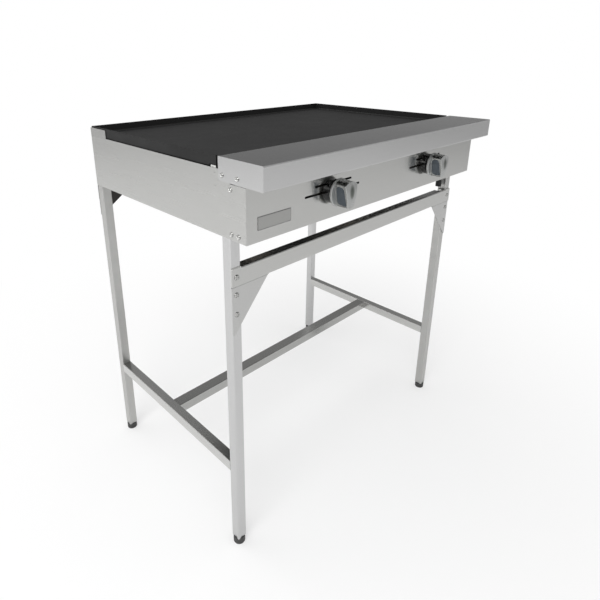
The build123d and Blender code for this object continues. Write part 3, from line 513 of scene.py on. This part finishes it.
def screw_points(shank, length, pitch, head, height, recess, places, outward, columns=40):
    """Rows run from the tip of the shank, up its side, under the head and over the dome.

    On the shank, radius = shank radius less a triangle wave of (height / pitch + turn). On the dome,
    radius = head radius x cos(t) and height = a rim plus the rest x sin(t), less the recess: a dip
    that is full where the point is near either arm of a cross, and fades out over its sloped walls.
    """
    rows_per_turn, dome_rows = 4, 18
    thread_depth, rim = 0.5 * pitch, 0.25 * height
    arm_width, arm_length = 0.14 * head, 0.38 * head
    side_slope, end_slope = 0.5 * arm_width, 0.3 * arm_length
    turn = np.linspace(0, 2 * np.pi, columns, endpoint=False)[None, None, :]
    climb = np.linspace(-length, 0, int(rows_per_turn * length / pitch))[None, :, None]
    wave = np.abs((climb / pitch + turn / (2 * np.pi)) % 1 - 0.5) * 2
    shank_radius = shank / 2 - thread_depth * wave
    tip = np.zeros_like(shank_radius[:, :1])
    t = np.linspace(0, np.pi / 2, dome_rows)[None, :, None]
    dome_radius = head / 2 * np.cos(t) + 0 * turn
    lean = np.random.default_rng(screw_seed).normal(screw_lean, lean_spread, len(places))[:, None, None]
    x, y = dome_radius * np.cos(turn - lean), dome_radius * np.sin(turn - lean)
    beside = np.minimum(np.abs(x), np.abs(y))
    dip = np.clip((arm_width - beside) / side_slope, 0, 1)
    dip = dip * np.clip((arm_length - dome_radius) / end_slope, 0, 1)
    dome_height = rim + (height - rim) * np.sin(t) + 0 * turn - recess * dip
    many = (len(places), 1, 1)
    radii = np.tile(np.concatenate([tip, shank_radius, 0 * tip + head / 2, dome_radius], axis=1), many)
    low = np.concatenate([0 * tip - length, climb + 0 * turn, 0 * tip], axis=1)
    heights = np.concatenate([np.tile(low, many), dome_height], axis=1)
    return stand_on(heights, radii, turn, places, outward)


print(f"crosses lean by {math.degrees(screw_lean):.0f} degrees, +-{math.degrees(lean_spread):.0f}")

# %% [markdown]
# ## Where the screws and bolts are
#
# The places are worked out from the CAD boxes of what each screw holds, so they follow the model. On
# each side there are screws at the lower front corner, through the leg clip and at the end of the cap.
# Two more hold the rear ear. A bolt goes through each end of a rail, and one or two through the gusset
# below it. Places are in metres.

# %% Places of the screws and bolts
low_rise, cap_rise, cap_drop = 10 * MM, 10.5 * MM, 11 * MM
corner_reach, cap_front_reach, cap_rear_reach = 20.5 * MM, 21 * MM, 60.5 * MM
clip_reach = 5.5 * MM
ear_rises_mm = (20, 66)
first_bolt_mm, bolt_step_mm = 18, 40
panel_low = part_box("front_panel")[0]
front_y, body_bottom = panel_low[1], panel_low[2]
rear_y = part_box("rear_panel")[1][1]
side_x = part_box("right_side_panel")[1][0]
cap_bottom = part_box("front_cap")[0][2]
leg_low, leg_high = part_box("front_right_leg")
leg_x, clip_y = (leg_low[0] + leg_high[0]) / 2, leg_low[1] - clip_reach
side_screws = [
    (front_y + corner_reach, body_bottom + low_rise),
    (clip_y, body_bottom + low_rise),
    (clip_y, cap_bottom - cap_drop),
    (front_y + cap_front_reach, cap_bottom + cap_rise),
    (front_y + cap_rear_reach, cap_bottom + cap_rise),
]
screw_places, screw_ways = [], []
for sign in (-1, 1):
    for y, z in side_screws:
        screw_places.append((sign * side_x, y, z))
        screw_ways.append((sign, 0, 0))
    for rise in ear_rises_mm:
        screw_places.append((sign * leg_x, rear_y, body_bottom + rise * MM))
        screw_ways.append((0, 1, 0))
bolt_places, bolt_ways = [], []
for end, way, bolts_below in (("front", -1, 2), ("rear", 1, 1)):
    rail_low, rail_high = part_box(f"{end}_rail")
    gusset_low, gusset_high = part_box(f"{end}_left_gusset")
    rail_face = rail_low[1] if way < 0 else rail_high[1]
    gusset_face = gusset_low[1] if way < 0 else gusset_high[1]
    seats = [(rail_face, (rail_low[2] + rail_high[2]) / 2)]
    for step in range(bolts_below):
        seats.append((gusset_face, rail_low[2] - (first_bolt_mm + bolt_step_mm * step) * MM))
    for sign in (-1, 1):
        for y, z in seats:
            bolt_places.append((sign * leg_x, y, z))
            bolt_ways.append((0, way, 0))
print(len(screw_places), "screws and", len(bolt_places), "bolts")

# %% [markdown]
# ## Screws and bolts in place
#
# The CAD model has plain fasteners of the same sizes. They could stay below the new ones, but then two
# surfaces would share one place, so each new piece replaces the CAD node that it stands for.

# %% Screws and bolts, in place of the plain ones
screws = grid_piece(
    "pan_head_screws",
    screw_points(
        shank=4 * MM, length=6 * MM, pitch=0.7 * MM, head=9 * MM, height=2.8 * MM, recess=1.3 * MM,
        places=screw_places, outward=screw_ways,
    ),
    zinc, "griddle",
)
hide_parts("body_screws")
bolts = grid_piece(
    "mushroom_head_bolts",
    screw_points(
        shank=6 * MM, length=11.2 * MM, pitch=1.0 * MM, head=11 * MM, height=2.4 * MM, recess=1.2 * MM,
        places=bolt_places, outward=bolt_ways,
    ),
    zinc, "griddle",
)
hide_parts("stand_bolts")

# %% [markdown]
# ## Spot welds
#
# The clips of the legs are spot-welded to the side panels from inside. Outside, each weld shows as a
# faint round swelling, a few millimetres across and a fraction of a millimetre high. They were set by
# hand, so their places are a list, and both sides have the same ones.

# %% Spot welds on the side panels


def swelling_points(radius, height, places, outward, rows=8, columns=20):
    """A low round swelling: height x (1 - (r / radius)^2)^2, which meets the sheet without an edge."""
    r = np.linspace(1, 0, rows)[None, :, None] * radius
    turn = np.linspace(0, 2 * np.pi, columns, endpoint=False)[None, None, :]
    heights = height * (1 - (r / radius) ** 2) ** 2 + 0 * turn
    return stand_on(heights, r + 0 * turn, turn, places, outward)


# Each weld in millimetres: how far behind the box's front, and how high above the floor.
weld_spots = [
    (80, 844), (80, 821), (80, 743), (530, 805), (494, 773), (532, 757), (448, 772),
]
weld_places = [(sign * side_x, front_y + y * MM, z * MM) for sign in (-1, 1) for y, z in weld_spots]
weld_ways = [(sign, 0, 0) for sign in (-1, 1) for _ in weld_spots]
grid_piece(
    "spot_welds",
    swelling_points(radius=3 * MM, height=0.4 * MM, places=weld_places, outward=weld_ways),
    sheet_along, "griddle",
)

# %% [markdown]
# ## Pointer marks
#
# Each knob has a soft dark mark from below the middle of its crowned front to near the rim. It is
# painted shade that stands for a shallow scooped pointer groove. A printed mark would have a hard edge.
# This one is a thin skin that follows the crown, a hair above it, with a finish that goes from painted
# shade to chrome towards its edge. The finish is made first.

# %% The finish of a mark


def groove_shade_chrome(name, middle, edge, roughness, centre_x, centre_z, half_width, half_length):
    """Chrome with a painted groove shade: tone goes from middle to edge with (x / half width)^2 +
    (z / half length)^2, where x and z are measured from the centre of the left or the right mark,
    whichever is on that side."""
    fade_end = 0.9
    material, tree, place = new_material(name)
    alike = add_node(tree, "ShaderNodeVectorMath", {0: place}, operation="ABSOLUTE").outputs["Vector"]
    offset = add_node(
        tree, "ShaderNodeVectorMath", {0: alike, 1: (centre_x, 0, centre_z)}, operation="SUBTRACT"
    ).outputs["Vector"]
    share = add_node(
        tree, "ShaderNodeVectorMath", {0: offset, 1: (1 / half_width, 0, 1 / half_length)},
        operation="MULTIPLY",
    ).outputs["Vector"]
    apart = add_node(tree, "ShaderNodeVectorMath", {0: share, 1: share}, operation="DOT_PRODUCT")
    fade = add_node(
        tree, "ShaderNodeMapRange", {"Value": apart.outputs["Value"], "From Max": fade_end},
        interpolation_type="SMOOTHSTEP",
    )
    tone = add_node(
        tree, "ShaderNodeMix",
        {"Factor": fade.outputs["Result"], FIRST_COLOUR: srgb(middle), SECOND_COLOUR: srgb(edge)},
        data_type="RGBA",
    )
    end_material(
        tree, {"Base Color": tone.outputs[MIXED_COLOUR], "Roughness": roughness, "Metallic": 1.0}
    )
    return material


mark_rise, mark_width, mark_length = 6 * MM, 18 * MM, 36 * MM
knob_low, knob_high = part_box("right_knob")
knob_x, knob_z = (knob_low[0] + knob_high[0]) / 2, (knob_low[2] + knob_high[2]) / 2
# Painted shade for a pointer groove on each knob's crown.
painted_groove_shade = groove_shade_chrome(
    "chrome_plate_painted_groove_shade", "#60645f", "#a9aaa9", 0.24,
    knob_x, knob_z + mark_rise, mark_width / 2, mark_length / 2,
)
print("knobs", round(2 * knob_x / MM), "mm apart, marks", round(mark_length / MM), "mm long")

# %% [markdown]
# ## The skin of a mark
#
# The crown of a knob is part of a sphere, whose radius follows from how far it rises and how wide it
# is. The skin has the same radius, so it lies evenly on the crown. It rides on the knob's own body and
# turns with it.

# %% Pointer marks on the knobs


def mark_points(tip, middle_x, middle_z, rise, width, length, crown_radius, rows=24, columns=9):
    """A strip on a sphere: x and z are the strip's own, and y falls back from the tip by the sphere's
    depth, R - sqrt(R^2 - x^2 - z^2), less a swelling that ends in nothing at both edges. No point is
    in front of the tip."""
    taper, swell, lift, least = 0.96, 0.2 * MM, 0.02 * MM, 0.0002 * MM
    along = np.linspace(-1, 1, rows)[:, None]
    across = np.linspace(-1, 1, columns)[None, :]
    x = width / 2 * across * np.sqrt(1 - taper * along**2)
    z = rise + length / 2 * along + 0 * across
    depth = crown_radius - np.sqrt(crown_radius**2 - x**2 - z**2)
    raised = depth - swell * (1 - across**2) * (1 - along**2) - lift
    y = tip + np.maximum(raised, least)
    return np.stack([middle_x + x, y, middle_z + z], axis=-1)[None]


crown, crown_edge = 3 * MM, 26 * MM
crown_radius = (crown_edge**2 + crown**2) / (2 * crown)
for side, sign in (("left", -1), ("right", 1)):
    grid_piece(
        f"{side}_pointer_mark",
        mark_points(knob_low[1], sign * knob_x, knob_z, mark_rise, mark_width, mark_length, crown_radius),
        painted_groove_shade, f"{side}_turn", wraps=False,
    )

# %% [markdown]
# ## Border of the badge
#
# The bare badge plate has a thin rolled border. It could be cut into the plate, but rolling raises the
# metal, so a half-round profile is carried along a rounded rectangle just inside the plate's edge.

# %% Border of the badge


def border_points(low, high, corner, width, height, rows=10, columns=96):
    """A half-round profile carried along a rounded rectangle: the path is the corner's centre plus a
    circle of the corner's radius, the centre jumping from corner to corner as the angle passes a
    quarter turn, and the profile goes inwards by the width and out by a half sine."""
    turn = np.linspace(0, 2 * np.pi, columns, endpoint=False) + np.pi / columns
    inner = np.array([(high[0] - low[0]) / 2 - corner, (high[2] - low[2]) / 2 - corner])
    centre = np.array([(low[0] + high[0]) / 2, (low[2] + high[2]) / 2])
    way = np.stack([np.cos(turn), np.sin(turn)], axis=-1)
    s = np.linspace(0, 1, rows)[:, None, None]
    flat = centre + np.sign(way) * inner + (corner - s * width) * way
    y = low[1] - height * np.sin(np.pi * s[..., 0]) + 0 * turn
    return np.stack([flat[..., 0], y, flat[..., 1]], axis=-1)[None]


# The raised border takes the darker galvanised finish, which paints the shadow along the plate's edge.
grid_piece(
    "badge_border",
    border_points(*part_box("badge_plate"), corner=1 * MM, width=1.0 * MM, height=0.3 * MM),
    galvanised, "griddle",
)

# %% [markdown]
# ## Floor
#
# A pale matt floor runs to the horizon and takes the object's shadow. For the camera it fades to plain
# white with the distance, so the background is white without more light on the object, and the shadow
# stays as a soft tone below the stand. Light Path tells which ray asks. For rays that come off metal
# the floor turns white only far away, and dims a little to the right, which gives the front its slow
# change of tone.

# %% Floor


def camera_and_shiny_rays(tree):
    """Two sockets: 1 for a ray from the camera, and 1 for a ray that comes off metal or through glass."""
    rays = add_node(tree, "ShaderNodeLightPath").outputs
    shiny = add_node(
        tree, "ShaderNodeMath", {0: rays["Is Glossy Ray"], 1: rays["Is Transmission Ray"]},
        operation="MAXIMUM",
    )
    return rays["Is Camera Ray"], shiny.outputs["Value"]


def matt_floor(name):
    """A matt paint that turns to white, or to black, by the product of a kind of ray and a fade. A fade
    is a smooth step from its least to its most while a measure goes from start to end, in metres."""
    material, tree, place = new_material(name)
    camera_rays, shiny_rays = camera_and_shiny_rays(tree)
    distance = add_node(tree, "ShaderNodeVectorMath", {0: place}, operation="LENGTH").outputs["Value"]
    to_the_right = add_node(tree, "ShaderNodeSeparateXYZ", {"Vector": place}).outputs["X"]
    parts = []
    for rays, measure, start, end, least, most in (
        (camera_rays, distance, 0.3, 1.6, 0.4, 1.0),
        (shiny_rays, distance, 6.0, 14.0, 0.0, 1.0),
        (shiny_rays, to_the_right, 2.0, 8.0, 0.0, 0.3),
    ):
        fade = add_node(
            tree, "ShaderNodeMapRange",
            {"Value": measure, "From Min": start, "From Max": end, "To Min": least, "To Max": most},
            interpolation_type="SMOOTHSTEP",
        )
        factors = {0: rays, 1: fade.outputs["Result"]}
        parts.append(add_node(tree, "ShaderNodeMath", factors, operation="MULTIPLY").outputs["Value"])
    white_near, white_far, dim = parts
    white_share = add_node(tree, "ShaderNodeMath", {0: white_near, 1: white_far}, operation="MAXIMUM")
    paint = add_node(
        tree, "ShaderNodeBsdfPrincipled",
        {"Base Color": srgb("#f8f8f8"), "Roughness": 0.9, "Specular IOR Level": 0.0},
    )
    white = add_node(tree, "ShaderNodeEmission", {"Color": srgb("#ffffff"), "Strength": 1.0})
    unlit = add_node(tree, "ShaderNodeEmission", {"Color": srgb("#000000"), "Strength": 0.0})
    whitened = add_node(
        tree, "ShaderNodeMixShader",
        {"Fac": white_share.outputs["Value"], 1: paint.outputs["BSDF"], 2: white.outputs["Emission"]},
    )
    dimmed = add_node(
        tree, "ShaderNodeMixShader",
        {"Fac": dim, 1: whitened.outputs["Shader"], 2: unlit.outputs["Emission"]},
    )
    add_node(tree, "ShaderNodeOutputMaterial", {"Surface": dimmed.outputs["Shader"]})
    return material


floor_half = 30.0
floor_corners = floor_half * np.array([(-1, -1, 0), (1, -1, 0), (1, 1, 0), (-1, 1, 0)])
floor_mesh = bpy.data.meshes.new("studio_floor")
floor_mesh.from_pydata(floor_corners.tolist(), [], [(0, 1, 2, 3)])
floor_mesh.materials.append(matt_floor("pale_matt_floor"))
floor = bpy.data.objects.new("studio_floor", floor_mesh)
scene.collection.objects.link(floor)
print("floor", 2 * floor_half, "m wide")

# %% [markdown]
# ## Room
#
# The world does three jobs, one for each kind of ray. The camera sees white. Plain surfaces get an even
# fill light. Metal mirrors a room: a bright backdrop low down, and dim walls and ceiling above it. That
# is what makes the tops of the cap and the stretchers read darker than their sides.

# %% World
# Each stop is a direction's height, 0 for level and 1 for straight up, and the room's level there.
room_stops = [
    (0.0, 0.95), (0.02, 0.7), (0.1, 0.22), (0.35, 0.16), (0.45, 0.25),
    (0.55, 0.36), (0.61, 0.33), (0.7, 0.18), (1.0, 0.8),
]
fill_strength = 0.62


def studio_room(name):
    """A world that is white for the camera, a ramp over the direction's height for metal, and an even
    fill for the rest."""
    world = bpy.data.worlds.new(name)
    world.use_nodes = True
    tree = world.node_tree
    tree.nodes.clear()
    direction = add_node(tree, "ShaderNodeTexCoord").outputs["Generated"]
    height = add_node(tree, "ShaderNodeSeparateXYZ", {"Vector": direction}).outputs["Z"]
    room = add_node(tree, "ShaderNodeValToRGB", {"Fac": height})
    stops = room.color_ramp.elements
    stops.remove(stops[0])
    for i, (position, level) in enumerate(room_stops):
        stop = stops[0] if i == 0 else stops.new(position)
        stop.position = position
        stop.color = (level, level, level, 1)
    camera_rays, shiny_rays = camera_and_shiny_rays(tree)
    plain = srgb("#ffffff")
    fill = add_node(tree, "ShaderNodeBackground", {"Color": plain, "Strength": fill_strength})
    mirrored = add_node(tree, "ShaderNodeBackground", {"Color": room.outputs["Color"], "Strength": 1.0})
    white = add_node(tree, "ShaderNodeBackground", {"Color": plain, "Strength": 1.0})
    lit = add_node(
        tree, "ShaderNodeMixShader",
        {"Fac": shiny_rays, 1: fill.outputs["Background"], 2: mirrored.outputs["Background"]},
    )
    seen = add_node(
        tree, "ShaderNodeMixShader",
        {"Fac": camera_rays, 1: lit.outputs["Shader"], 2: white.outputs["Background"]},
    )
    add_node(tree, "ShaderNodeOutputWorld", {"Surface": seen.outputs["Shader"]})
    return world


scene.world = studio_room("studio_room")
print("room with", len(room_stops), "levels")

# %% [markdown]
# ## Lamps
#
# Three large soft boxes light the object. The key stands high on the left and a little in front, a weak
# one on the right lifts the shaded sides, and one behind gives the legs and the rear edges their light.
# A large lamp gives a soft shadow, as a cloth box in a studio does.

# %% Lamps
lamp_aim = (0, 0, 0.3)


def soft_lamp(name, place, size, watts):
    """A square area lamp of a size in metres, at a place, turned to face the aim."""
    data = bpy.data.lights.new(name, "AREA")
    data.size = size
    data.energy = watts
    lamp = bpy.data.objects.new(name, data)
    lamp.location = place
    lamp.rotation_euler = (Vector(lamp_aim) - Vector(place)).to_track_quat("-Z", "Y").to_euler()
    scene.collection.objects.link(lamp)
    print(name, watts, "W")


soft_lamp("key_softbox", place=(-3.4, -1.6, 3.2), size=3.0, watts=116)
soft_lamp("fill_softbox", place=(2.8, -1.6, 3.0), size=3.5, watts=12)
soft_lamp("back_softbox", place=(-1.5, 3.0, 3.4), size=3.5, watts=44)

# %% [markdown]
# ## Camera
#
# The photograph's camera was worked out from the edges of the box and the legs: its place, its two
# angles, and the point that its axis meets in the frame, which is off the middle. Blender takes the
# last as a lens shift.

# %% Camera at the photograph's angle
picture_pixels, focal_pixels = 600, 482.456
axis_column, axis_row = 270.07, 223.01
azimuth, elevation = math.radians(-43.639), math.radians(19.349)
camera_place = (-0.885044, -0.823003, 1.035435)
sensor_mm = 36.0
back = Vector((
    math.sin(azimuth) * math.cos(elevation), -math.cos(azimuth) * math.cos(elevation), math.sin(elevation)
))
right = Vector((0, 0, 1)).cross(back).normalized()
up = back.cross(right)
camera_data = bpy.data.cameras.new("photo_camera")
camera_data.sensor_width = sensor_mm
camera_data.lens = sensor_mm * focal_pixels / picture_pixels
camera_data.shift_x = 0.5 - axis_column / picture_pixels
camera_data.shift_y = axis_row / picture_pixels - 0.5
camera_data.clip_end = 200.0
camera = bpy.data.objects.new("photo_camera", camera_data)
turn = Matrix((right, up, back)).transposed().to_4x4()
camera.matrix_world = Matrix.Translation(camera_place) @ turn
scene.collection.objects.link(camera)
scene.camera = camera
print("lens", round(camera_data.lens, 2), "mm")
